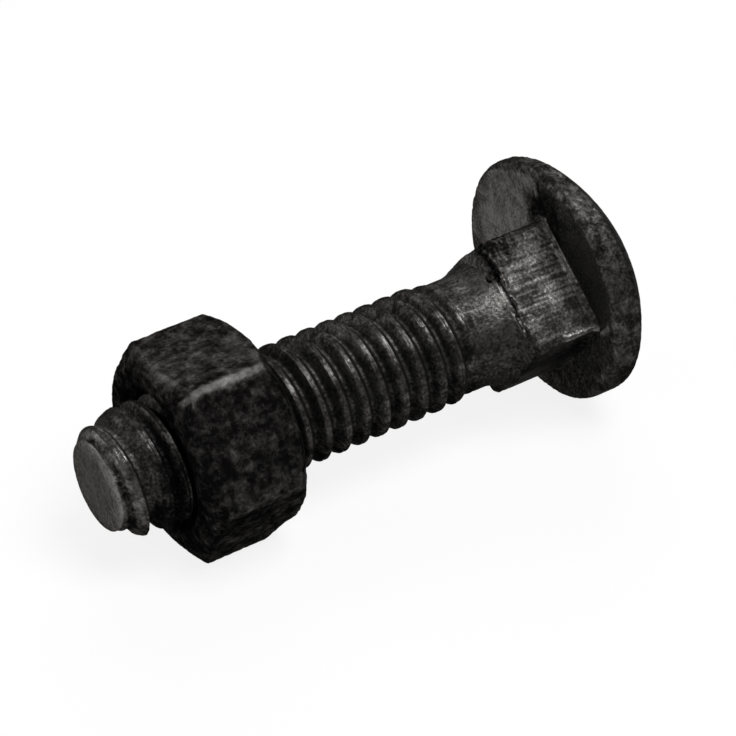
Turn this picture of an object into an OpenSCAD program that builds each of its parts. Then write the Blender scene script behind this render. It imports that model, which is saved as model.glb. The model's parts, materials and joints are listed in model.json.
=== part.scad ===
// Carriage bolt with a hexagon nut run on near its tip.
// It lies at rest on a level surface, on one flat of the nut and on the rim of the head.
// Both pieces are built along +Z, from the tip of the bolt at zero, and are then laid down so that
// the tip points to -X and the head to +X.

/* [Bolt] */
// Length from the tip to the flat underside of the head
bolt_length = 33.3; // [30:0.1:60]
// Width of the flat end face at the tip
tip_face_d = 5.8; // [4.5:0.1:6.2]
// Length of the bevel round the tip
tip_bevel = 1.7; // [0.5:0.1:2.5]

/* [Thread] */
// Diameter over the crests
thread_d = 8.05; // [7.6:0.05:8.3]
// Distance from one crest to the next
pitch = 1.41; // [1.3:0.01:1.6]
// Width of the flat that wear has left on each crest
crest_flat = 0.34; // [0.15:0.01:0.4]
// Width of the bottom of each groove
root_flat = 0.24; // [0.15:0.01:0.3]
// Angle between the two sides of a groove
flank_angle = 60; // [55:1:65]
// Length from the tip to the place where the thread has faded out
thread_length = 25.8; // [22:0.1:28]
// Length over which the last turns fade into the shank
thread_fade = 2.2; // [1:0.1:4]
// Turn of the thread about its axis
thread_turn = 76; // [-180:1:180]

/* [Shank and neck] */
// Diameter of the shank beside the thread
shank_d = 7.4; // [7.1:0.05:7.6]
// Diameter that the shank swells to where it meets the neck
collar_d = 8.8; // [7.8:0.05:9]
// Length over which the shank swells
collar_length = 2.4; // [1:0.1:4]
// Distance by which the lip of the swelling stands over the front of the neck's flats
collar_lip = 0.3; // [0:0.05:0.6]
// Width of the square neck across its flats
neck_width = 8.2; // [7.5:0.1:9]
// Length of the square neck
neck_length = 4.6; // [3.5:0.1:5.5]
// Length over which the neck's corners rise from the shank
neck_rise = 0.7; // [0.4:0.1:2]
// Rounding of the four long edges of the neck
neck_edge_r = 0.7; // [0.2:0.1:1.2]
// Turn of the neck against the nut
neck_turn = 38.5; // [0:0.5:89]
// Width of the bevelled skirt where the neck meets the head
neck_skirt = 0.35; // [0.1:0.05:0.8]
// Distance by which the neck was forged off the shank's axis, the same way as the head
neck_shift = 0.15; // [0:0.05:0.6]

/* [Head] */
// Largest diameter of the head
head_d = 16.4; // [15.5:0.1:18]
// Height from the underside to the top of the dome
head_height = 4.7; // [4:0.1:5.5]
// Mean height of the upright rim under the dome
rim_height = 1.3; // [1:0.1:2.2]
// Rounding of the rim's lower edge
rim_r = 0.3; // [0.2:0.1:0.9]
// Distance by which the head was forged off the shank's axis
head_shift = 1.15; // [0:0.05:1.4]
// Direction of that shift, as a turn from straight up
head_shift_turn = 52; // [0:1:90]
// Distance by which the dome's crown lies nearer the front than the rim's centre does
dome_shift = 0.75; // [0:0.05:1]

/* [Nut] */
// Width of the nut across its flats
nut_width = 12.7; // [12:0.1:13]
// Thickness of the nut
nut_thickness = 7; // [5.5:0.1:8]
// Distance from the bolt's tip to the nut's near face
nut_place = 4.4; // [3:0.05:12]
// Length that the bevel takes off each end of the nut's six corners
nut_corner_cut = 1; // [0.5:0.1:1.6]
// Angle of that bevel against the nut's face
nut_bevel_angle = 30; // [25:1:40]
// Diameter of the countersink at each face
nut_mouth_d = 9.4; // [8.8:0.1:9.8]
// Angle of the countersink's side against the nut's face
nut_mouth_angle = 40; // [25:1:50]
// Space between the crests of the bolt and the nut's groove
thread_gap = 0.12; // [0.06:0.01:0.2]
// Depth of the nut's thread
nut_thread_depth = 0.58; // [0.45:0.01:0.62]

/* [Hidden] */
$fn = 96;

bolt_colour = "#3a3836";
nut_colour = "#2e2c2b";

// Thread form: where each corner of one groove and crest lies along the axis
thread_segments = 40;
corners = 4;
flank_run = (pitch - crest_flat - root_flat) / 2;
thread_depth = flank_run / tan(flank_angle / 2);
crest_r = thread_d / 2;
bolt_stations = [0, crest_flat, crest_flat + flank_run, pitch - flank_run];
bolt_radii = [crest_r, crest_r, crest_r - thread_depth, crest_r - thread_depth];

// The nut's groove is the bolt's crest with the gap all round
nut_run = nut_thread_depth * tan(flank_angle / 2);
nut_groove_r = crest_r + thread_gap;
nut_bore_r = nut_groove_r - nut_thread_depth;
nut_stations = [-thread_gap / 2, crest_flat + thread_gap / 2,
    crest_flat + thread_gap / 2 + nut_run, pitch - thread_gap / 2 - nut_run];
nut_radii = [nut_groove_r, nut_groove_r, nut_bore_r, nut_bore_r];

// The thread's last ring stays this far inside the shank, and its core reaches this far into it
shank_inset = 0.04;
shank_bite = 1;
// The shortest side that the thread's facets may have along the axis
thinnest = 0.04;

neck_start = bolt_length - neck_length;
neck_corner_r = neck_width / sqrt(2) - neck_edge_r * (sqrt(2) - 1);
neck_rise_r = neck_corner_r - shank_d / 2;
collar_steps = 8;
collar_bend = 0.15;

// The dome is part of one sphere, which ends at the upright rim. Its centre lies off the rim's own
// axis, so the rim is taller at the front than at the back.
dome_rise = head_height - rim_height;
dome_r = (pow(head_d / 2, 2) + pow(dome_rise, 2)) / (2 * dome_rise);
head_up = head_shift * cos(head_shift_turn);
head_back = head_shift * sin(head_shift_turn);
neck_up = neck_shift * cos(head_shift_turn);
neck_back = neck_shift * sin(head_shift_turn);

// The corner bevel starts at the flat face and leaves each side flat in a curve
nut_corner_r = nut_width / sqrt(3);
nut_face_r = nut_corner_r - nut_corner_cut / tan(nut_bevel_angle);
side_bevel = max(0, nut_width / 2 - nut_face_r) * tan(nut_bevel_angle);
mouth_reach = 0.5;

// Lying at rest: the near end of the nut's lower flat and the rim's lower rounding touch the surface
rest_near = nut_place + side_bevel;
rest_run = bolt_length + rim_r - rest_near;
rest_drop = head_d / 2 - rim_r - head_up - nut_width / 2;
rest_tilt = asin(rim_r / norm([rest_run, rest_drop])) + atan2(rest_drop, rest_run);
rest_height = nut_width / 2 * cos(rest_tilt) - rest_near * sin(rest_tilt);

// The box round the lying bolt, from the tip's upper edge to the top of the dome
box_low_x = -tip_face_d / 2 * sin(rest_tilt);
box_high_x = (bolt_length + head_height - dome_r) * cos(rest_tilt) - head_up * sin(rest_tilt) + dome_r;
box_middle_x = (box_low_x + box_high_x) / 2;

// Across the shank the box ends at the head at the back, and at the head or the nut at the front
box_high_y = head_back + head_d / 2;
box_low_y = min(head_back - head_d / 2, -nut_corner_r);
box_middle_y = (box_low_y + box_high_y) / 2;

// Radius of the bolt's thread: the tip's bevel cuts it and the fade fills it
function fade(z) =
    let (t = min(1, max(0, (z - thread_length + thread_fade) / thread_fade)))
    t * t * (3 - 2 * t);
function bolt_r(z, r) =
    let (bevelled = min(r, tip_face_d / 2 + z * (thread_d - tip_face_d) / 2 / tip_bevel))
    bevelled + (shank_d / 2 - shank_inset - bevelled) * fade(z);

// Radius of the nut's thread: the countersinks widen it at both faces
function mouth_r(depth) = nut_mouth_d / 2 - depth / tan(nut_mouth_angle);
function nut_r(z, r) = max(r, mouth_r(z - nut_place), mouth_r(nut_place + nut_thickness - z));

// Radius of the swelling between the shank and the neck: a cone that starts in a soft bend
function collar_r(t) =
    shank_d / 2 + (collar_d - shank_d) / 2
        * (norm([t, collar_bend]) - collar_bend) / (norm([1, collar_bend]) - collar_bend);

// A thread between two heights, closed by a ring at each end and by a cap beyond each ring.
// Its rows follow the helix, and the rows that would pass an end close on that end's ring.
module thread(stations, radii, low, high, low_cap, high_cap, in_nut) {
    segments = thread_segments;
    first = corners * (floor((low - thread_turn / 360 * pitch) / pitch) - 2);
    rows = corners * (ceil((high - low) / pitch) + 6);
    function form(z, r) = in_nut ? nut_r(z, r) : bolt_r(z, r);
    function height(i, j) =
        pitch * (floor((first + i) / corners) + j / segments + thread_turn / 360) + stations[i % corners];
    function point(z, r, j) = [r * cos(360 * j / segments), r * sin(360 * j / segments), z];
    function ring(z, r) = [for (j = [0:segments - 1]) point(z, r, j)];
    grid = [for (i = [0:rows - 1]) for (j = [0:segments - 1])
        point(height(i, j), form(height(i, j), radii[i % corners]), j)];
    function index(i, j) =
        j == segments ? index(i + corners, 0)
        : height(i, j) < low + thinnest ? segments + j
        : height(i, j) > high - thinnest ? 2 * segments + j
        : (4 + i) * segments + j;
    function side(a, b, c) = a == b || b == c || a == c ? [] : [[a, b, c]];
    function next(j) = (j + 1) % segments;
    function band(lower, upper) = [for (j = [0:segments - 1])
        let (a = lower * segments + j, b = lower * segments + next(j))
        let (c = upper * segments + next(j), d = upper * segments + j)
        each [[a, d, c], [a, c, b]]];
    polyhedron(
        concat(
            ring(low_cap[0], low_cap[1]),
            ring(low, form(low, radii[0])),
            ring(high, form(high, radii[0])),
            ring(high_cap[0], high_cap[1]),
            grid
        ),
        concat(
            [[for (j = [0:segments - 1]) j]],
            [[for (j = [segments - 1:-1:0]) 3 * segments + j]],
            band(0, 1),
            band(2, 3),
            [for (i = [0:rows - corners - 2]) for (j = [0:segments - 1])
                let (a = index(i, j), b = index(i, j + 1), c = index(i + 1, j + 1), d = index(i + 1, j))
                each concat(side(a, d, c), side(a, c, b))]
        )
    );
}

// Lays a piece that stands along +Z down at rest
module at_rest() {
    translate([-box_middle_x, -box_middle_y, rest_height])
        rotate([0, 90 - rest_tilt, 0])
            children();
}

// The thread rolled on the bolt, with the bevel at its tip
module rolled_thread() {
    high = thread_length - thinnest;
    thread(bolt_stations, bolt_radii, thinnest, high,
        [0, tip_face_d / 2], [thread_length + shank_bite, shank_d / 2 - shank_inset - thinnest], false);
}

// The round shank, which swells towards the neck and ends there in a lip
module shank() {
    swell_end = neck_start + collar_lip;
    swell_start = swell_end - collar_length;
    translate([0, 0, thread_length])
        cylinder(d = shank_d, h = bolt_length - thread_length);
    rotate_extrude()
        polygon(concat(
            [[0, swell_start]],
            [for (k = [0:collar_steps])
                [collar_r(k / collar_steps), swell_start + collar_length * k / collar_steps]],
            [[0, swell_end]]
        ));
}

// A square with round corners
module neck_outline(width) {
    straight = width - 2 * neck_edge_r;
    square([width, straight], center = true);
    square([straight, width], center = true);
    for (x = [-1, 1], y = [-1, 1])
        translate([x * straight / 2, y * straight / 2])
            circle(r = neck_edge_r);
}

// The square neck, forged a little off the shank's axis. Its corners rise from the shank on a cone,
// and a bevelled skirt joins it to the head.
module neck() {
    translate([-neck_up, neck_back, 0])
        rotate([0, 0, neck_turn]) {
            intersection() {
                translate([0, 0, neck_start - neck_rise])
                    linear_extrude(neck_length + neck_rise)
                        neck_outline(neck_width);
                rotate_extrude()
                    polygon([
                        [0, neck_start - neck_rise],
                        [shank_d / 2, neck_start - neck_rise],
                        [neck_corner_r + neck_rise_r, neck_start + neck_rise],
                        [neck_corner_r + neck_rise_r, bolt_length],
                        [0, bolt_length]
                    ]);
            }
            hull() {
                translate([0, 0, bolt_length - neck_skirt])
                    linear_extrude(thinnest)
                        square(neck_width - 2 * neck_edge_r, center = true);
                translate([0, 0, bolt_length - thinnest])
                    linear_extrude(2 * thinnest)
                        square(neck_width + neck_skirt, center = true);
            }
        }
}

// Half the outline of the head's upright side, from its flat underside up past the rim
module rim_outline() {
    translate([0, rim_r])
        square([head_d / 2, head_height]);
    square([head_d / 2 - rim_r, head_height]);
    translate([head_d / 2 - rim_r, rim_r])
        circle(r = rim_r, $fn = 48);
}

// The mushroom head, forged a little off the shank's axis
module head() {
    translate([-head_up, head_back, bolt_length])
        intersection() {
            rotate_extrude()
                rim_outline();
            translate([0, -dome_shift, head_height - dome_r])
                sphere(r = dome_r, $fn = 120);
        }
}

// One forged piece with a rolled thread
module carriage_bolt() {
    color(bolt_colour)
        at_rest() {
            rolled_thread();
            shank();
            neck();
            head();
        }
}

// Hexagon nut, bevelled on both faces, with its thread cut through
module hex_nut() {
    clear_r = nut_corner_r + 1;
    bevel_height = (clear_r - nut_face_r) * tan(nut_bevel_angle);
    low = nut_place - mouth_reach;
    high = nut_place + nut_thickness + mouth_reach;
    cap_r = nut_width / 2;
    color(nut_colour)
        at_rest()
            difference() {
                intersection() {
                    translate([0, 0, nut_place])
                        linear_extrude(nut_thickness)
                            rotate(30)
                                circle(r = nut_corner_r, $fn = 6);
                    translate([0, 0, nut_place])
                        rotate_extrude()
                            polygon([
                                [0, 0],
                                [nut_face_r, 0],
                                [clear_r, bevel_height],
                                [clear_r, nut_thickness - bevel_height],
                                [nut_face_r, nut_thickness],
                                [0, nut_thickness]
                            ]);
                }
                thread(nut_stations, nut_radii, low, high,
                    [low - mouth_reach, cap_r], [high + mouth_reach, cap_r], true);
            }
}

carriage_bolt();
hex_nut();
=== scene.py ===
# Carriage bolt with a hexagon nut run on near its tip, lying at rest.
# The bolt's own shapes are worked out in millimetres along its shank, from the tip at zero towards
# the head, and are then laid down where the frame's mounts say that the shank lies.
import json
import math

import bpy
import numpy as np
from mathutils import Matrix, Vector, noise


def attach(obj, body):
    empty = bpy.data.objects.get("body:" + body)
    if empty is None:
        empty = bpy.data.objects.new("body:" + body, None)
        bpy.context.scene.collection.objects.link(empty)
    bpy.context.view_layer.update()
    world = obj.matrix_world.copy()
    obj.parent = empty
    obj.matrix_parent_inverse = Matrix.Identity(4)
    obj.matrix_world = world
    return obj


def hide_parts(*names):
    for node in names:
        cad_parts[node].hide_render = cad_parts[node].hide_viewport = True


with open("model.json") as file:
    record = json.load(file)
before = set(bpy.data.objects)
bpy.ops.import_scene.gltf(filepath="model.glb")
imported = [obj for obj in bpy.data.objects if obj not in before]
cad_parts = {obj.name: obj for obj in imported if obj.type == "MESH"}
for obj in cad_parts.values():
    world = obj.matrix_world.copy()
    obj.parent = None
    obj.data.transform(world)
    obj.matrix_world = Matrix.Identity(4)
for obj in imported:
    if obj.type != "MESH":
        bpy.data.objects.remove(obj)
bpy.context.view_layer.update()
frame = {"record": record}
scene = bpy.context.scene
scene.view_settings.view_transform = "Standard"


# The camera
# A long lens looks down on the bolt from its tip's end, with the head at the upper right.
aim = Vector((0.52, -0.94, 7.29)) / 1000
view_turn = math.radians(32.56)
view_drop = math.radians(36.11)
view_distance = 0.2033
forward = Vector((
    math.sin(view_turn) * math.cos(view_drop),
    math.cos(view_turn) * math.cos(view_drop),
    -math.sin(view_drop),
))
camera_data = bpy.data.cameras.new("camera")
camera_data.lens = 159.1
camera_data.sensor_width = 36
camera_data.clip_start = 0.01
camera = bpy.data.objects.new("camera", camera_data)
camera.matrix_world = (
    Matrix.Translation(aim - forward * view_distance)
    @ forward.to_track_quat("-Z", "Y").to_matrix().to_4x4()
)
scene.collection.objects.link(camera)
scene.camera = camera


# The carriage bolt
# Carbon steel, cold headed from wire: the mushroom head and the square neck are forged in one blow
# and the thread is rolled, which swells it over the plain shank. Heat and years of use have turned
# it nearly black, and handling has rubbed the crests, the tip and the neck's upper flat bare. Its
# colour also holds painted highlights, as bare steel, and painted shade, as black.
bolt_length = 33.3
crest_r = 4.025
pitch = 1.41
crest_flat = 0.34
root_flat = 0.24
thread_turn = math.radians(76)
thread_length = 25.8
thread_fade = 2.2
nut_back = 11.4
shank_r = 3.7
collar_r = 4.4
collar_length = 2.4
collar_lip = 0.3
collar_bend = 0.15
neck_width = 8.2
neck_length = 4.6
neck_rise = 0.7
neck_edge_r = 0.7
neck_turn = math.radians(38.5)
neck_skirt = 0.35
neck_shift = 0.15
torn_edge = 28.5
tip_face_r = 2.93
tip_crown = 0.12
head_r = 8.2
head_height = 4.7
rim_height = 1.3
rim_edge_r = 0.3
head_shift = 1.15
shift_turn = math.radians(52)
dome_shift = 0.75

flank_run = (pitch - crest_flat - root_flat) / 2
thread_depth = flank_run / math.tan(math.radians(30))
neck_start = bolt_length - neck_length
swell_start = neck_start + collar_lip - collar_length
neck_middle = neck_shift * np.array([-math.cos(shift_turn), math.sin(shift_turn)])
head_middle = head_shift * np.array([-math.cos(shift_turn), math.sin(shift_turn)])
dome_rise = head_height - rim_height
dome_r = (head_r ** 2 + dome_rise ** 2) / (2 * dome_rise)

mounts = {mount["name"]: mount for mount in frame["record"]["mounts"]}
along = -np.array(mounts["square_neck"]["axis"])
neck_centre = np.array(mounts["square_neck"]["pos_m"]) * 1000
tip_place = neck_centre - along * (bolt_length - neck_length / 2)
down = np.array([along[2], 0, -along[0]])
back = np.array([0, 1, 0])


def laid(points):
    """Points of the upright bolt, in millimetres, where they lie at rest, in metres."""
    x, y, z = points[..., 0:1], points[..., 1:2], points[..., 2:3]
    return (tip_place + x * down + y * back + z * along) / 1000


def mottle(points, size, seed):
    """Soft noise from about -1 to 1 whose patches are about as wide as size, in millimetres."""
    shift = Vector((17.3 * seed, 5.1 * seed, 9.7 * seed))
    flat = points.reshape(-1, 3) / size
    values = [noise.fractal(Vector(point) + shift, 1.0, 2.0, 2) for point in flat.tolist()]
    return np.array(values).reshape(points.shape[:-1])


def normals_of(rings, wrap):
    """Outward directions of a skin of rings, from its neighbours on both sides."""
    round_it = np.roll(rings, -1, axis=1) - np.roll(rings, 1, axis=1)
    if wrap:
        past = np.roll(rings, -1, axis=0) - np.roll(rings, 1, axis=0)
    else:
        past = np.gradient(rings, axis=0)
    facing = np.cross(round_it, past)
    return facing / np.maximum(np.linalg.norm(facing, axis=2, keepdims=True), 1e-9)


def skin(name, rings, wrap, marks):
    """A closed smooth mesh over rings of points. Its ends meet, or each is closed by a fan."""
    count, around = rings.shape[:2]
    points = laid(rings).reshape(-1, 3)
    faces = []
    for row in range(count if wrap else count - 1):
        low = row * around
        high = (row + 1) % count * around
        for turn in range(around):
            after = (turn + 1) % around
            faces.append((low + turn, low + after, high + after, high + turn))
    if not wrap:
        first, last = len(points), len(points) + 1
        ends = laid(np.array([rings[0].mean(axis=0), rings[-1].mean(axis=0)]))
        points = np.concatenate([points, ends])
        top = (count - 1) * around
        for turn in range(around):
            after = (turn + 1) % around
            faces.append((first, after, turn))
            faces.append((last, top + turn, top + after))
    mesh = bpy.data.meshes.new(name)
    mesh.from_pydata(points.tolist(), [], faces)
    mesh.polygons.foreach_set("use_smooth", [True] * len(mesh.polygons))
    for mark, values in marks.items():
        column = np.zeros(len(points))
        column[:count * around] = np.clip(values, 0, 1).ravel()
        mesh.attributes.new(mark, "FLOAT", "POINT").data.foreach_set("value", column)
    piece = bpy.data.objects.new(name, mesh)
    scene.collection.objects.link(piece)
    return piece


def step(value, low, high):
    """Rises softly from 0 at low to 1 at high."""
    part = np.clip((value - low) / (high - low), 0, 1)
    return part * part * (3 - 2 * part)


around = 192
turns = np.linspace(0, 2 * math.pi, around, endpoint=False)
spoke = np.stack([np.cos(turns), np.sin(turns)], axis=1)


def ring(middle, radius, height):
    """One ring of points about a middle, with one radius and height or with one for each turn."""
    radius = np.broadcast_to(radius, turns.shape)
    height = np.broadcast_to(height, turns.shape)
    place = np.asarray(middle) + spoke * radius[:, None]
    return np.concatenate([place, height[:, None]], axis=1)


def past_crest(z):
    """How far each place of a ring lies from the middle of the nearest crest, along the axis."""
    start = z - pitch * (turns + thread_turn) / (2 * math.pi) - crest_flat / 2
    return np.abs(np.mod(start + pitch / 2, pitch) - pitch / 2)


# Heights over the tip where knocks have left the first grooves and crests, and where they were rolled
knocked_to = (0, 0.42, 1.0, 1.5, 2.9, 3.4)
rolled_at = (0.1, 0.58, 1.29, 1.95, 2.7, 3.4)
knocked_side = math.radians(195)
knocks_end = 3.9


def battered(z):
    """How far knocks on the tip have moved its first crests along the axis, most of all on top."""
    from_middle = z - pitch * (turns - math.radians(210)) / (2 * math.pi)
    moved = np.interp(from_middle, knocked_to, rolled_at)
    share = np.clip(0.65 + 0.7 * np.cos(turns - knocked_side), 0, 1)
    return share * (moved - from_middle) * (1 - step(z, knocks_end - 0.7, knocks_end))


# The tip's bevel as heights and radii, on its most worn side and on its fullest side
worn_bevel_z = (0, 0.45, 0.7, 1.05, 1.45, 2.0, 2.5, 2.8)
worn_bevel_r = (2.87, 3.2, 3.45, 3.52, 3.6, 3.75, 3.95, 4.1)
full_bevel_z = (0, 0.85, 1.45, 1.8, 2.0, 2.8)
full_bevel_r = (2.87, 3.36, 3.8, 4.0, 4.1, 4.1)
full_side = math.radians(330)


def thread_radius(z):
    """The rolled thread, rounded where the rollers let the steel flow, with its bevel and fade.
    Each crest has the fine seam that rolling leaves, and dirt fills the grooves on top of the bolt."""
    away = past_crest(z + battered(z))
    groove = np.zeros(around)
    softening = (-0.06, -0.02, 0.02, 0.06)
    for offset in softening:
        groove += np.clip((np.abs(away + offset) - crest_flat / 2) / flank_run, 0, 1) / len(softening)
    filled = 0.22 * (0.5 - 0.5 * np.cos(turns)) ** 2
    filled = filled * step(turns, 4.5, 2.6) * step(z, nut_back + 0.4, nut_back + 1.2)
    seam = 0.08 * np.exp(-(away / 0.07) ** 2)
    worn = np.interp(z, worn_bevel_z, worn_bevel_r)
    full = np.interp(z, full_bevel_z, full_bevel_r)
    bevel = worn + (full - worn) * (0.5 + 0.5 * np.cos(turns - full_side))
    bevel = bevel - 0.24 * groove ** 2 * (1 - step(z, 1.1, 2.4))
    radius = np.minimum(crest_r - seam - (1 - filled) * thread_depth * groove, bevel)
    return radius + (shank_r - radius) * step(z, thread_length - thread_fade, thread_length)


def swelling(z):
    """The cone that the shank swells on where it meets the neck, which starts in a soft bend."""
    part = max(0, (z - swell_start) / collar_length)
    bend = math.hypot(part, collar_bend) - collar_bend
    return shank_r + (collar_r - shank_r) * bend / (math.hypot(1, collar_bend) - collar_bend)


def square_radius(width, edge_r):
    """Radius about the shank's axis of the square neck, which was forged off that axis."""
    fine = np.linspace(0, 2 * math.pi, 2880, endpoint=False)
    x, y = np.cos(fine), np.sin(fine)
    side = np.maximum(np.abs(x), np.abs(y))
    corner = width / 2 - edge_r
    scale = width / 2 / side
    past_x, past_y = np.abs(x) * scale - corner, np.abs(y) * scale - corner
    in_corner = (past_x > 0) & (past_y > 0)
    dot = corner * (np.abs(x) + np.abs(y))
    rounded = dot + np.sqrt(np.maximum(dot ** 2 - 2 * corner ** 2 + edge_r ** 2, 0))
    scale = np.where(in_corner, rounded, scale)
    px = x * scale * math.cos(neck_turn) - y * scale * math.sin(neck_turn) + neck_middle[0]
    py = x * scale * math.sin(neck_turn) + y * scale * math.cos(neck_turn) + neck_middle[1]
    found = np.mod(np.arctan2(py, px), 2 * math.pi)
    order = np.argsort(found)
    return np.interp(turns, found[order], np.hypot(px, py)[order], period=2 * math.pi)


def neck_radius(z):
    """The neck's section at one height: its corners rise from the shank and end in a skirt.
    The die tore the steel there, so the lip of the swelling ends in a ragged line."""
    corner_r = neck_width / math.sqrt(2) - neck_edge_r * (math.sqrt(2) - 1)
    slope = (2 * corner_r - 2 * shank_r) / (2 * neck_rise)
    rise = shank_r + (z - neck_start + neck_rise + ragged) * slope
    flare = neck_skirt * max(0, 1 - (bolt_length - z) / neck_skirt)
    section = np.minimum(square_radius(neck_width + flare, neck_edge_r), np.maximum(rise, 0))
    lip = np.where(z < torn_edge + ragged, swelling(z), 0)
    gap = 0.16 * np.exp(-((z - torn_edge - ragged - 0.06) / 0.09) ** 2)
    return np.maximum(section - gap * (rise > 4.3), lip)


def torn_by(turn):
    """How far the torn line wanders along the shank at one turn about it."""
    return 0.16 * noise.fractal(Vector((2.2 * math.cos(turn), 2.2 * math.sin(turn), 0)), 1.0, 2.0, 3)


ragged = np.array([torn_by(turn) for turn in turns])
tip_edge = tip_face_r + 0.12 * np.cos(turns + math.radians(35))
tip_fall = tip_crown - 0.1 * np.cos(turns - math.radians(50))
rings = []
for part in np.linspace(0.08, 1, 26):
    rings.append(ring((0, 0), tip_edge * part, tip_fall * max(0, (part - 0.6) / 0.4) ** 2.6))
tip_rows = len(rings)
for z in np.linspace(0.3, thread_length, 348):
    rings.append(ring((0, 0), thread_radius(z), z))
shank_rows = len(rings)
for z in np.linspace(thread_length + 0.08, neck_start - neck_rise, 22):
    rings.append(ring((0, 0), swelling(z), z))
for z in np.linspace(neck_start - neck_rise + 0.05, neck_start + 0.3, 25):
    rings.append(ring((0, 0), neck_radius(z), z))
for z in np.linspace(neck_start + 0.38, bolt_length, 52):
    rings.append(ring((0, 0), neck_radius(z), z))
neck_foot = rings[-1]
neck_rows = len(rings)


def dome_height(radius):
    """Height of the dome over a ring about the head's middle."""
    off = spoke * np.asarray(radius) + np.array([0, dome_shift])
    under = dome_r ** 2 - (off ** 2).sum(axis=1)
    return bolt_length + head_height - dome_r + np.sqrt(under)


# The underside's edge is broken by a bevel, which is widest above and below the front of the head
rim_top = dome_height(head_r)
from_front = np.abs(np.mod(np.degrees(turns) - 228 + 180, 360) - 180)
bevel_in = rim_edge_r + 0.55 * step(from_front, 12, 55) * (1 - step(from_front, 70, 100))
bevel_up = np.minimum(rim_edge_r + 0.1, 0.8 * (rim_top - bolt_length))
rim_foot = ring(head_middle, head_r - bevel_in, bolt_length)
for part in np.linspace(0, 1, 15)[1:]:
    rings.append(neck_foot * (1 - part) + rim_foot * part)
underside_rows = len(rings)
for bend in np.radians([18, 36, 54, 72, 90]):
    rings.append(ring(head_middle, head_r - bevel_in * (1 - math.sin(bend)),
                      bolt_length + bevel_up * (1 - math.cos(bend))))
for part in np.linspace(0, 1, 8)[1:]:
    low = bolt_length + bevel_up
    rings.append(ring(head_middle, head_r, low + (rim_top - low) * part))
rim_rows = len(rings)
for radius in head_r * np.sin(np.linspace(math.pi / 2, 0.03, 18))[1:]:
    rings.append(ring(head_middle, radius, dome_height(radius)))
rings = np.array(rings)


# Where each point lies: height along the shank, turn about it in degrees, radius, and ring
height = rings[..., 2]
angle = np.degrees(np.broadcast_to(turns, height.shape))
radius = np.hypot(rings[..., 0], rings[..., 1])
row = np.arange(len(rings))[:, None] + np.zeros_like(angle)


def near(value, middle, reach):
    """A soft window: 1 at the middle, fading to 0 at the reach on both sides."""
    return 1 - step(np.abs(value - middle), 0, reach)


def turned(middle):
    """How far each point is turned from an azimuth, in degrees."""
    return np.abs(np.mod(angle - middle + 180, 360) - 180)


def spot(z, turn, along_reach, turn_reach):
    """A soft oval patch on the shank or the neck."""
    far = np.hypot((height - z) / along_reach, turned(turn) / turn_reach)
    return 1 - step(far, 0.3, 1)


# Turns, in degrees, of the neck's upper and lower corner and of the scraped flat between them, and
# of the side facing the overhead lamp, where highlights are painted on the crests and the swelling
upper_corner = 174
lower_corner = 266
scraped_flat = 222
highlight_side = 211

on_tip = row < tip_rows
on_thread = (row >= tip_rows) & (row < shank_rows)
on_swelling = (row >= shank_rows) & (height < torn_edge)
on_neck = (height >= torn_edge) & (row < neck_rows)
on_underside = (row >= neck_rows) & (row < underside_rows)
on_rim = (row >= underside_rows) & (row < rim_rows)
on_dome = row >= rim_rows

coarse = mottle(rings, 1.6, 1)
medium = mottle(rings, 0.7, 2)
fine = mottle(rings, 0.3, 3)

# Forging, rust and knocks have eaten into the surface, most of all on the head's rough rim
away_from_crest = np.array([past_crest(z + battered(z)) for z in height[:, 0]])
crest = np.exp(-(away_from_crest / 0.24) ** 2) * on_thread
eaten = 0.008 + 0.02 * np.maximum(fine, 0)
dented = 0.035 * np.maximum(coarse, 0) + 0.05 * np.maximum(medium, 0)
eaten = eaten + crest * dented * step(angle, 160, 200)
eaten = eaten + (on_rim + 0.7 * on_dome) * (0.015 * medium + 0.08 * np.maximum(fine, 0))
below_head = row < neck_rows
rough_patch = spot(torn_edge + 0.8, upper_corner, 1.6, 24) * below_head
eaten = eaten + rough_patch * (0.05 + 0.08 * medium + 0.2 * fine)
past_tear = height - torn_edge - ragged
torn = np.exp(-((past_tear - 0.25) / 0.3) ** 2) * below_head * step(angle, 185, 200)
eaten = eaten + torn * (0.25 * fine + 0.04)
notch = spot(torn_edge - 0.05, 191, 0.6, 10) * (1 + 1.2 * fine)
notch = step(notch, 0.3, 0.8) * below_head
eaten = eaten + 0.5 * notch
lower_arris = near(turned(lower_corner), 0, 26) * on_neck
eaten = eaten + lower_arris * (0.22 + 0.14 * medium)

# A burr was raised along the neck's lower corner and runs on over the underside
burr = near(turned(lower_corner - 5), 0, 5) * step(height, 30.6, 31.2) * below_head
burr = burr + near(turned(lower_corner - 2), 0, 6) * on_underside * (1 - step(radius, 6.3, 6.9))
eaten = eaten * (1 - burr)

# The underside's facets meet in creases that run out from the neck's corners. Their darkening, and
# that of the front and low facets, is painted shade; the left facet's lighter colour is painted light
crease = near(turned(upper_corner + 1.5) * radius, 0, 20) + near(turned(lower_corner) * radius, 0, 20)
crease = crease * on_underside
eaten = eaten + 0.12 * crease * (1 - burr)
past_upper = step(angle, upper_corner - 1.5, upper_corner + 2.5)
past_lower = step(angle, lower_corner - 4, lower_corner + 2)
left_facet = on_underside * (1 - past_upper) * step(angle, 84, 90)
front_facet = on_underside * past_upper * (1 - past_lower)
low_facet = on_underside * past_lower
shift = 0.11 * burr * (0.85 + 0.5 * medium) - np.maximum(eaten, 0)
rings = rings + normals_of(rings, False) * shift[..., None]
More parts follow.
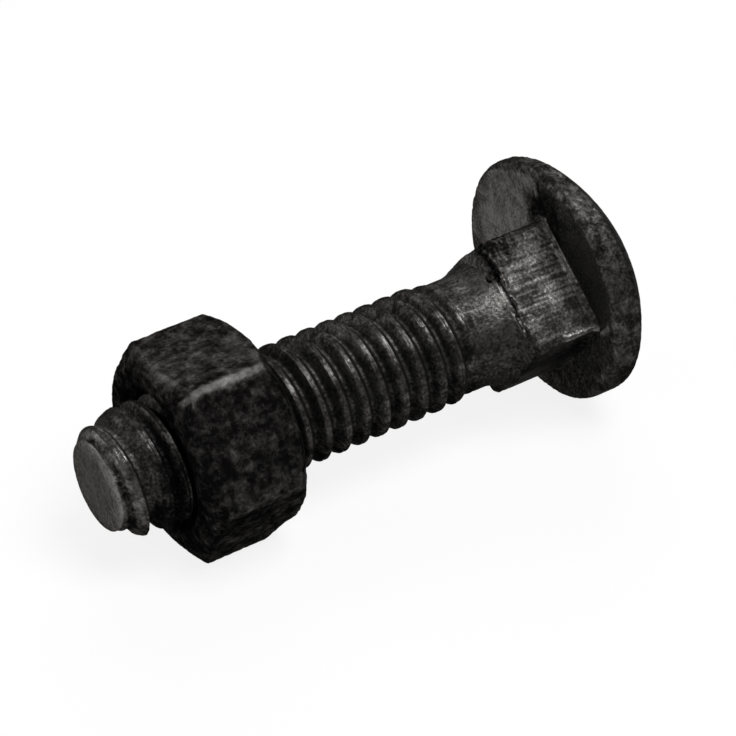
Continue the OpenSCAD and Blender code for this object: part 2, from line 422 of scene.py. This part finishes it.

# Bare steel: the tip's face and nose, the crests, the swelling's lip, the scraped flat of the neck
# and the ragged skirt where it meets the head, and the head's rim. On the crests, the lip and the rim
# it is laid on the side that faces the overhead lamp as a painted highlight; the underside's left
# facet is painted lighter as painted light, and round the neck's upper corner it is painted darker.
nose = on_thread * (1 - step(height, 1.2, 2.0))
ring_groove = on_thread * (1 - step(height, 0.9, 1.2)) * step(away_from_crest, 0.38, 0.6)
bare_and_highlight = 0.15 + 0.1 * coarse
bare_and_highlight = bare_and_highlight + on_tip * (1.0 - 0.2 * np.maximum(coarse, 0))
chafed_edge = on_tip * step(radius, 2.2, 2.7) * near(turned(15), 0, 70)
bare_and_highlight = bare_and_highlight + chafed_edge * (0.4 + 2.0 * fine)
bare_and_highlight = bare_and_highlight + nose * (0.3 + 0.6 * medium + 0.4 * fine)
# Painted highlight: the crests and the swelling's lip are made bare only on the side facing the overhead
# lamp
crest_highlight = (0.55 + 1.6 * fine) * near(turned(highlight_side), 0, 20)
bare_and_highlight = bare_and_highlight + crest * (0.2 * medium - 0.15 + crest_highlight)
lip_highlight = near(turned(highlight_side + 3), 0, 42) * step(height, 26.6, 27.8)
bare_and_highlight = bare_and_highlight + on_swelling * (0.06 + 0.42 * lip_highlight)
scraped = near(turned(scraped_flat + 8), 0, 52)
bare_and_highlight = bare_and_highlight + on_neck * (0.06 + 0.45 * medium + 0.3 * coarse) * scraped
skirt = on_neck * step(height, bolt_length - 0.4, bolt_length - 0.25) * near(turned(205), 0, 44)
bare_and_highlight = bare_and_highlight + skirt * (0.9 + 1.6 * fine)
# Painted shade on the underside round the neck's upper corner
neck_corner_shade = on_underside * near(turned(upper_corner + 2), 0, 30)
neck_corner_shade = neck_corner_shade * (1 - step(radius + 0.5 * coarse, 6.0, 8.0))
# Painted light: the underside's left facet is made lighter, as bare steel
bare_and_highlight = bare_and_highlight + left_facet * (0.95 + 0.5 * coarse) + 1.8 * burr - 1.6 * neck_corner_shade
# Painted highlight on the rim's top, towards the overhead lamp
rim_highlight = (0.2 + 0.8 * fine) * near(turned(196), 0, 22)
bare_and_highlight = bare_and_highlight + (on_rim + on_dome) * (0.75 * fine - 0.1 + rim_highlight)
bare_and_highlight = bare_and_highlight - rough_patch * 0.3 + torn * 1.2 * fine

# Black grime: in the grooves, in the rough patch and round the neck's upper corner, and on the rim.
# Painted shade goes into the same mark: on the sides that face down, on the grooves and the swelling
# below, on the thread in front of the nut, in the torn line's groove and notch, on the underside's
# facets, creases and corner by the neck, near the rim on its left facet, on the rim's lower front
# band, on the neck's lower side and next to the head.
# Painted shade: darker on the sides that face down
downward_shade = step(-np.cos(np.radians(turned(180))), -0.35, 0.75)
grime_and_shade = 0.35 * downward_shade + 0.12 * np.maximum(coarse, 0) - 0.4 * on_tip - chafed_edge * 0.6 * fine
# Grime in the grooves, with painted shade added on their lower side
grime_and_shade = grime_and_shade + on_thread * (1 - crest) * (0.15 + 0.35 * step(angle, 195, 235))
# Painted highlight: less black on the crests on the side facing the overhead lamp
grime_and_shade = grime_and_shade - 0.5 * crest * near(turned(highlight_side), 0, 24)
# Painted shadow of the nut on the thread just in front of it
grime_and_shade = grime_and_shade + on_thread * 0.9 * near(height, 3.4, 1.7) * step(angle, 180, 215)
# Painted shade on the swelling's lower side
grime_and_shade = grime_and_shade + on_swelling * 0.35 * step(angle, 225, 250) + 0.2 * on_rim
grime_and_shade = grime_and_shade + 0.75 * ring_groove - 0.25 * nose
# Painted shade on the underside's front and low facets, in its creases and round the neck's upper corner
grime_and_shade = grime_and_shade + 0.22 * front_facet + 0.3 * low_facet + 0.8 * crease + 2.0 * neck_corner_shade
from_head = np.hypot(rings[..., 0] - head_middle[0], rings[..., 1] - head_middle[1])
# Painted shade on the left facet near the rim
grime_and_shade = grime_and_shade + left_facet * (step(from_head, 5.6, 7.6) * (0.5 + 0.6 * coarse) - 0.2)
# Painted shade on the rim's lower front band
grime_and_shade = grime_and_shade + on_rim * step(angle, 205, 225) * (1 - step(angle, 255, 270)) * (0.2 + 0.5 * medium)
# Painted shade inside the notch
grime_and_shade = grime_and_shade + notch + rough_patch * (0.4 + 0.9 * fine)
grime_and_shade = grime_and_shade + spot(torn_edge + 1.1, upper_corner - 3, 3.0, 18) * on_neck * (0.5 + 1.1 * fine)
# Painted shade on the neck next to the head and on its lower side
grime_and_shade = grime_and_shade + on_neck * step(height, 31.2, 32.6) * (0.3 + 0.2 * coarse) * (1 - skirt)
grime_and_shade = grime_and_shade + on_neck * 0.6 * near(turned(290), 0, 45)
# Painted shade in the groove along the torn line, behind the swelling's lip
crack = np.exp(-((past_tear - 0.05) / 0.1) ** 2) * below_head
grime_and_shade = (grime_and_shade + crack * (0.45 + 0.5 * near(turned(188), 0, 20))) * (1 - burr)

# How strongly scratches along the shank and blotches show in each place
drawn = 0.25 * on_thread + 0.4 * on_swelling
drawn = drawn + on_neck * (0.35 + 0.65 * near(turned(scraped_flat), 0, 50))
mottled = 1 - 0.6 * on_swelling - 0.5 * on_neck - 0.3 * on_underside

marks = {"bare_and_highlight": bare_and_highlight, "grime_and_shade": grime_and_shade, "drawn": drawn, "mottled": mottled}
bolt = skin("worn_bolt", rings, False, marks)


def linear(colour):
    """An sRGB hex colour as the linear values that a shader takes."""
    parts = [int(colour[place:place + 2], 16) / 255 for place in (1, 3, 5)]
    low = [part / 12.92 for part in parts]
    high = [((part + 0.055) / 1.055) ** 2.4 for part in parts]
    return [a if part <= 0.04045 else b for part, a, b in zip(parts, low, high)] + [1]


def add(tree, kind, links=None, **settings):
    """Adds a node. Settings go to the node itself, and links are sockets or values for its inputs."""
    node = tree.nodes.new(kind)
    for name, value in settings.items():
        setattr(node, name, value)
    for name, value in (links or {}).items():
        if isinstance(value, bpy.types.NodeSocket):
            tree.links.new(value, node.inputs[name])
        else:
            node.inputs[name].default_value = value
    return node


# Black oxide on forged steel: a dark satin skin that is rubbed through to grey metal where the
# bolt was handled, with pits, fine scratches along the shank and matt black grime in the hollows.
# The grey also carries painted highlights and the near-black painted shade, from the bolt's marks.
# Sizes are in millimetres. Real scratches are a tenth as wide, and are drawn coarser here to show.
blotch_size = 0.9
pit_size = 0.2
scratch_length = 5.0
scratch_width = 0.22
pit_depth = 0.06

black_steel = bpy.data.materials.new("worn_black_oxide_steel")
black_steel.use_nodes = True
tree = black_steel.node_tree
tree.nodes.clear()
place = add(tree, "ShaderNodeTexCoord").outputs["Object"]
worn = add(tree, "ShaderNodeAttribute", attribute_name="bare_and_highlight").outputs["Fac"]
dirt_and_shade = add(tree, "ShaderNodeAttribute", attribute_name="grime_and_shade").outputs["Fac"]
scored = add(tree, "ShaderNodeAttribute", attribute_name="drawn").outputs["Fac"]
blotchy = add(tree, "ShaderNodeAttribute", attribute_name="mottled").outputs["Fac"]
blotches = add(tree, "ShaderNodeTexNoise", {
    "Vector": place, "Scale": 1000 / blotch_size, "Detail": 5.0, "Roughness": 0.65,
})
pits = add(tree, "ShaderNodeTexNoise", {
    "Vector": place, "Scale": 1000 / pit_size, "Detail": 3.0, "Roughness": 0.6,
})
stretched = add(tree, "ShaderNodeMapping", {
    "Vector": place, "Scale": (1000 / scratch_length, 1000 / scratch_width, 1000 / scratch_width),
})
scratches = add(tree, "ShaderNodeTexNoise", {
    "Vector": stretched.outputs[0], "Scale": 1.0, "Detail": 3.0,
})

uneven = add(tree, "ShaderNodeMath", {
    0: blotches.outputs["Fac"], 1: 1.6, 2: -0.8,
}, operation="MULTIPLY_ADD")
uneven = add(tree, "ShaderNodeMath", {0: uneven.outputs[0], 1: blotchy}, operation="MULTIPLY")
uneven = add(tree, "ShaderNodeMath", {
    0: pits.outputs["Fac"], 1: 1.4, 2: uneven.outputs[0],
}, operation="MULTIPLY_ADD")
lines = add(tree, "ShaderNodeMath", {
    0: scratches.outputs["Fac"], 1: 3.0, 2: -1.5,
}, operation="MULTIPLY_ADD")
lines = add(tree, "ShaderNodeMath", {0: lines.outputs[0], 1: scored}, operation="MULTIPLY")

# Bare metal shows where wear, painted highlight and unevenness together pass a level, and grime and
# painted shade settle in what is low
rubbed_and_lit = add(tree, "ShaderNodeMath", {0: lines.outputs[0], 1: uneven.outputs[0]}, operation="ADD")
rubbed_and_lit = add(tree, "ShaderNodeMath", {0: rubbed_and_lit.outputs[0], 1: worn}, operation="ADD")
rubbed_and_lit = add(tree, "ShaderNodeMapRange", {
    "Value": rubbed_and_lit.outputs[0], "From Min": 0.55, "From Max": 1.8,
})
caked_and_shaded = add(tree, "ShaderNodeMath", {0: dirt_and_shade, 1: uneven.outputs[0]}, operation="SUBTRACT")
caked_and_shaded = add(tree, "ShaderNodeMapRange", {
    "Value": caked_and_shaded.outputs[0], "From Min": -0.85, "From Max": 0.4,
})
colour = add(tree, "ShaderNodeMix", {
    "Factor": rubbed_and_lit.outputs[0], "A": linear("#2f2e2d"), "B": linear("#6d6b69"),
}, data_type="RGBA")
colour = add(tree, "ShaderNodeMix", {
    "Factor": caked_and_shaded.outputs[0], "A": colour.outputs["Result"], "B": linear("#121111"),
}, data_type="RGBA")
polish = add(tree, "ShaderNodeMapRange", {"Value": rubbed_and_lit.outputs[0], "To Min": 0.55, "To Max": 0.3})
polish = add(tree, "ShaderNodeMath", {
    0: caked_and_shaded.outputs[0], 1: 0.25, 2: polish.outputs[0],
}, operation="MULTIPLY_ADD")
relief = add(tree, "ShaderNodeMath", {
    0: lines.outputs[0], 1: 0.2, 2: pits.outputs["Fac"],
}, operation="MULTIPLY_ADD")
relief = add(tree, "ShaderNodeBump", {
    "Height": relief.outputs[0], "Strength": 0.8, "Distance": pit_depth / 1000,
})
steel = add(tree, "ShaderNodeBsdfPrincipled", {
    "Base Color": colour.outputs["Result"],
    "Metallic": 1.0,
    "Roughness": polish.outputs[0],
    "Specular Tint": linear("#777777"),
    "Normal": relief.outputs[0],
})
add(tree, "ShaderNodeOutputMaterial", {"Surface": steel.outputs["BSDF"]})
bolt.data.materials.append(black_steel)
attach(bolt, "root")
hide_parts("carriage_bolt")


# The hexagon nut
# Carbon steel, hot forged, bevelled on both faces and tapped. It still has its black scale, with
# grime on it and painted shade on its near face and on the side beyond its upper front corner, and
# spanners have rounded its corners.
nut_width = 12.7
nut_thickness = 7.0
nut_place = 4.4
nut_corner_cut = 0.9
nut_bevel_angle = math.radians(30)
nut_mouth_r = 4.7
nut_mouth_angle = math.radians(40)
thread_gap = 0.12
nut_thread_depth = 0.58
corner_sharpness = 110
corner_lean = math.radians(4.5)

nut_face_r = nut_width / math.sqrt(3) - nut_corner_cut / math.tan(nut_bevel_angle)
nut_groove_r = crest_r + thread_gap

around = 264
turns = np.linspace(0, 2 * math.pi, around, endpoint=False)
spoke = np.stack([np.cos(turns), np.sin(turns)], axis=1)


def tapped_radius(z):
    """The nut's own thread: its groove is the bolt's crest with the gap all round."""
    away = past_crest(z)
    run = nut_thread_depth * math.tan(math.radians(30))
    height = np.clip((away - crest_flat / 2 - thread_gap / 2) / run, 0, 1)
    radius = nut_groove_r - nut_thread_depth * height
    depth = min(z - nut_place, nut_place + nut_thickness - z)
    return np.maximum(radius, nut_mouth_r - depth / math.tan(nut_mouth_angle))


# Spanners have dragged the upper corners round, and the far face's bevel is cut deeper at the low
# front corners
turned_by = np.degrees(turns)
lean = corner_lean * step(turned_by, 90, 150) * (1 - step(turned_by, 215, 265))
flats = [np.maximum(np.cos(turns + lean - math.pi / 3 * side), 0.01) for side in range(6)]
squeeze = sum(flat ** corner_sharpness for flat in flats) ** (1 / corner_sharpness)
side_r = nut_width / 2 / squeeze
bevel_depth = (side_r - nut_face_r) * math.tan(nut_bevel_angle)
nut_end = nut_place + nut_thickness
end_depth = bevel_depth + step(side_r, 6.5, 7.2) * (0.2 + 0.8 * step(turned_by, 275, 305))

rings = []
for z in np.linspace(nut_place, nut_end, 84):
    rings.append(ring((0, 0), tapped_radius(z), z))
for part in np.linspace(0, 1, 9)[1:]:
    rings.append(ring((0, 0), nut_mouth_r + (nut_face_r - nut_mouth_r) * part, nut_end))
for part in np.linspace(0, 1, 8)[1:]:
    rings.append(ring((0, 0), nut_face_r + (side_r - nut_face_r) * part, nut_end - end_depth * part))
side_length = nut_thickness - end_depth - bevel_depth
for part in np.linspace(0, 1, 60)[1:]:
    rings.append(ring((0, 0), side_r, nut_end - end_depth - side_length * part))
for part in np.linspace(1, 0, 8)[1:]:
    rings.append(ring((0, 0), nut_face_r + (side_r - nut_face_r) * part, nut_place + bevel_depth * part))
for part in np.linspace(1, 0, 9)[1:-1]:
    rings.append(ring((0, 0), nut_mouth_r + (nut_face_r - nut_mouth_r) * part, nut_place))
rings = np.array(rings)[::-1]


height = rings[..., 2]
angle = np.degrees(np.broadcast_to(turns, height.shape))
radius = np.hypot(rings[..., 0], rings[..., 1])

# Wear rounds every edge: each pass moves the points towards their neighbours
outside = radius > nut_mouth_r + 0.1
for _ in range(4):
    beside = (np.roll(rings, 1, axis=0) + np.roll(rings, -1, axis=0)
              + np.roll(rings, 1, axis=1) + np.roll(rings, -1, axis=1)) / 4
    rings = np.where(outside[..., None], (rings + beside) / 2, rings)

# Scale has eaten the whole skin, and two corners are knocked off: a low one at the far face, and
# the upper front one at the near face
front_corner = 206
coarse = mottle(rings, 1.8, 5)
medium = mottle(rings, 0.8, 6)
fine = mottle(rings, 0.35, 7)
eaten = 0.03 * medium + 0.05 * fine + 0.02 * coarse
from_low_knock = np.hypot(turned(330) / 22, (height - nut_end) / 2.2)
eaten = eaten + 0.45 * (1 - step(from_low_knock, 0.1, 1))
from_front_knock = np.hypot(turned(front_corner) / 7, (height - nut_place - 0.6) / 0.7)
eaten = eaten + (1 - step(from_front_knock, 0.2, 1)) * (0.25 + 0.3 * fine)
eaten = np.where(outside, eaten, 0)
eaten = np.where(turned(0) < 34, np.maximum(eaten, 0), eaten)
rings = rings - normals_of(rings, True) * eaten[..., None]

# Bare steel along the worn corners, with painted highlights on the upper front corner, on the near
# bevel's edge and on top; grime and painted shade on the near face and below
on_side = (height > nut_place + 0.35) & (height < nut_end - 0.35) & (radius > nut_face_r)
# Painted light: lighter on the top
bare_and_highlight = 0.1 + 0.25 * coarse + 0.25 * medium + 0.25 * near(turned(180), 0, 35)
# Real wear and a painted highlight along the upper front corner
worn_corner_highlight = near(turned(front_corner), 0, 3.4) * on_side
bare_and_highlight = bare_and_highlight + worn_corner_highlight * (2.6 - 1.2 * step(height, nut_place + 1, nut_end))
# Painted highlight beside the upper front corner
bare_and_highlight = bare_and_highlight + 0.25 * near(turned(196), 0, 14) * step(height, nut_place + 3, nut_end) * on_side
bare_and_highlight = bare_and_highlight + 0.45 * near(turned(270), 0, 7) * on_side
bevel_edge = nut_place + np.interp(angle, turned_by, bevel_depth)
near_edge = near(height - bevel_edge, 0.1, 0.35) * (radius > nut_face_r)
# Painted highlight along the near bevel's edge on top
edge_highlight = near_edge * near(turned(185), 0, 40)
bare_and_highlight = bare_and_highlight + edge_highlight * (0.9 + 2.0 * fine)
near_face = 1 - step(height, nut_place + 0.2, nut_place + 0.9)
# Grime, with painted shade on the near face that is strongest from the front round underneath
grime_and_shade = 0.4 + 0.4 * fine + near_face * (0.3 + 1.1 * step(angle, 190, 215))
# Painted shade in the mouth round the thread
grime_and_shade = grime_and_shade + 1.2 * near_face * (1 - step(radius, 5.3, 6.0))
# Painted shade on the side past the upper front corner
past_corner = step(angle, front_corner, front_corner + 6)
grime_and_shade = grime_and_shade + 0.42 * on_side * past_corner * (1 - 0.5 * step(angle, 262, 276))
from_chips = np.hypot(turned(201) / 5, (height - nut_place - 0.6) / 0.8)
grime_and_shade = grime_and_shade + (1 - step(from_chips, 0.3, 1.2)) * (0.5 + 1.2 * fine)
grime_and_shade = grime_and_shade - 1.2 * worn_corner_highlight - 0.5 * edge_highlight

nut = skin("worn_nut", rings, True, {"bare_and_highlight": bare_and_highlight, "grime_and_shade": grime_and_shade})

# Forge scale on carbon steel: a mottled matt black skin with paler rubbed patches and dark pits.
# The paler colour also carries painted highlights, and the near-black painted shade.
# The sizes are in millimetres.
scale_patch_size = 0.9
scale_pit_size = 0.3
scale_depth = 0.08

scaled_steel = bpy.data.materials.new("scaled_black_steel")
scaled_steel.use_nodes = True
tree = scaled_steel.node_tree
tree.nodes.clear()
place = add(tree, "ShaderNodeTexCoord").outputs["Object"]
worn = add(tree, "ShaderNodeAttribute", attribute_name="bare_and_highlight").outputs["Fac"]
dirt_and_shade = add(tree, "ShaderNodeAttribute", attribute_name="grime_and_shade").outputs["Fac"]
patches = add(tree, "ShaderNodeTexNoise", {
    "Vector": place, "Scale": 1000 / scale_patch_size, "Detail": 8.0, "Roughness": 0.72,
})
pits = add(tree, "ShaderNodeTexNoise", {
    "Vector": place, "Scale": 1000 / scale_pit_size, "Detail": 4.0, "Roughness": 0.7,
})
uneven = add(tree, "ShaderNodeMath", {
    0: patches.outputs["Fac"], 1: 2.4, 2: -1.2,
}, operation="MULTIPLY_ADD")
uneven = add(tree, "ShaderNodeMath", {
    0: pits.outputs["Fac"], 1: 1.2, 2: uneven.outputs[0],
}, operation="MULTIPLY_ADD")
rubbed_and_lit = add(tree, "ShaderNodeMath", {0: worn, 1: uneven.outputs[0]}, operation="ADD")
rubbed_and_lit = add(tree, "ShaderNodeMapRange", {
    "Value": rubbed_and_lit.outputs[0], "From Min": 0.45, "From Max": 2.3,
})
caked_and_shaded = add(tree, "ShaderNodeMath", {0: dirt_and_shade, 1: uneven.outputs[0]}, operation="SUBTRACT")
caked_and_shaded = add(tree, "ShaderNodeMapRange", {
    "Value": caked_and_shaded.outputs[0], "From Min": -0.75, "From Max": 0.55,
})
colour = add(tree, "ShaderNodeMix", {
    "Factor": rubbed_and_lit.outputs[0], "A": linear("#222120"), "B": linear("#7a7876"),
}, data_type="RGBA")
colour = add(tree, "ShaderNodeMix", {
    "Factor": caked_and_shaded.outputs[0], "A": colour.outputs["Result"], "B": linear("#0f0e0e"),
}, data_type="RGBA")
polish = add(tree, "ShaderNodeMapRange", {"Value": rubbed_and_lit.outputs[0], "To Min": 0.62, "To Max": 0.24})
relief = add(tree, "ShaderNodeBump", {
    "Height": uneven.outputs[0], "Strength": 0.8, "Distance": scale_depth / 1000,
})
steel = add(tree, "ShaderNodeBsdfPrincipled", {
    "Base Color": colour.outputs["Result"],
    "Metallic": 1.0,
    "Roughness": polish.outputs[0],
    "Specular Tint": linear("#777777"),
    "Normal": relief.outputs[0],
})
add(tree, "ShaderNodeOutputMaterial", {"Surface": steel.outputs["BSDF"]})
nut.data.materials.append(scaled_steel)
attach(nut, "root")
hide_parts("hex_nut")


# The floor
# A white paper sheet under the object. The camera, and the steel's reflections, see it mostly as
# pure white, with a share of its lit colour left so that the object's shadow stays on it.
floor_reach = 1.5
floor_corners = [
    (-floor_reach, -floor_reach, 0),
    (floor_reach, -floor_reach, 0),
    (floor_reach, floor_reach, 0),
    (-floor_reach, floor_reach, 0),
]
floor_mesh = bpy.data.meshes.new("floor")
floor_mesh.from_pydata(floor_corners, [], [(0, 1, 2, 3)])
floor = bpy.data.objects.new("floor", floor_mesh)
scene.collection.objects.link(floor)
paper = bpy.data.materials.new("white_paper")
paper.use_nodes = True
tree = paper.node_tree
tree.nodes.clear()
path = add(tree, "ShaderNodeLightPath")
seen = add(tree, "ShaderNodeMath", {
    0: path.outputs["Is Camera Ray"], 1: path.outputs["Is Glossy Ray"],
}, operation="MAXIMUM")
seen = add(tree, "ShaderNodeMath", {
    0: seen.outputs[0], 1: path.outputs["Is Transmission Ray"],
}, operation="MAXIMUM")
lit = add(tree, "ShaderNodeBsdfDiffuse", {"Color": linear("#ececec")})
glow = add(tree, "ShaderNodeEmission", {"Color": linear("#ffffff"), "Strength": 1.0})
share = add(tree, "ShaderNodeMath", {0: seen.outputs[0], 1: 0.85}, operation="MULTIPLY")
sheet = add(tree, "ShaderNodeMixShader", {0: share.outputs[0], 1: lit.outputs[0], 2: glow.outputs[0]})
add(tree, "ShaderNodeOutputMaterial", {"Surface": sheet.outputs[0]})
floor.data.materials.append(paper)


# The lights
# As in a light tent: one softbox hangs nearly overhead, a little towards the head and the front,
# one stands high behind the head, one low behind the tip, and one low off the tip's face.
def softbox(name, place, size, power):
    """A square lamp that faces the bolt's middle."""
    lamp = bpy.data.lights.new(name, "AREA")
    lamp.shape = "SQUARE"
    lamp.size = size
    lamp.energy = power
    holder = bpy.data.objects.new(name, lamp)
    holder.location = place
    holder.rotation_euler = (aim - Vector(place)).to_track_quat("-Z", "Y").to_euler()
    scene.collection.objects.link(holder)


softbox("overhead_softbox", (0.07, -0.15, 0.375), 0.2, 1.6)
softbox("rear_softbox", (0.20, 0.32, 0.28), 0.30, 0.85)
softbox("low_softbox", (-0.30, 0.28, 0.10), 0.25, 0.45)
softbox("tip_softbox", (-0.42, -0.06, 0.10), 0.25, 0.5)

world = bpy.data.worlds.new("studio")
scene.world = world
world.use_nodes = True
tree = world.node_tree
tree.nodes.clear()
sky = add(tree, "ShaderNodeBackground", {"Color": linear("#ffffff"), "Strength": 0.1})
add(tree, "ShaderNodeOutputWorld", {"Surface": sky.outputs[0]})
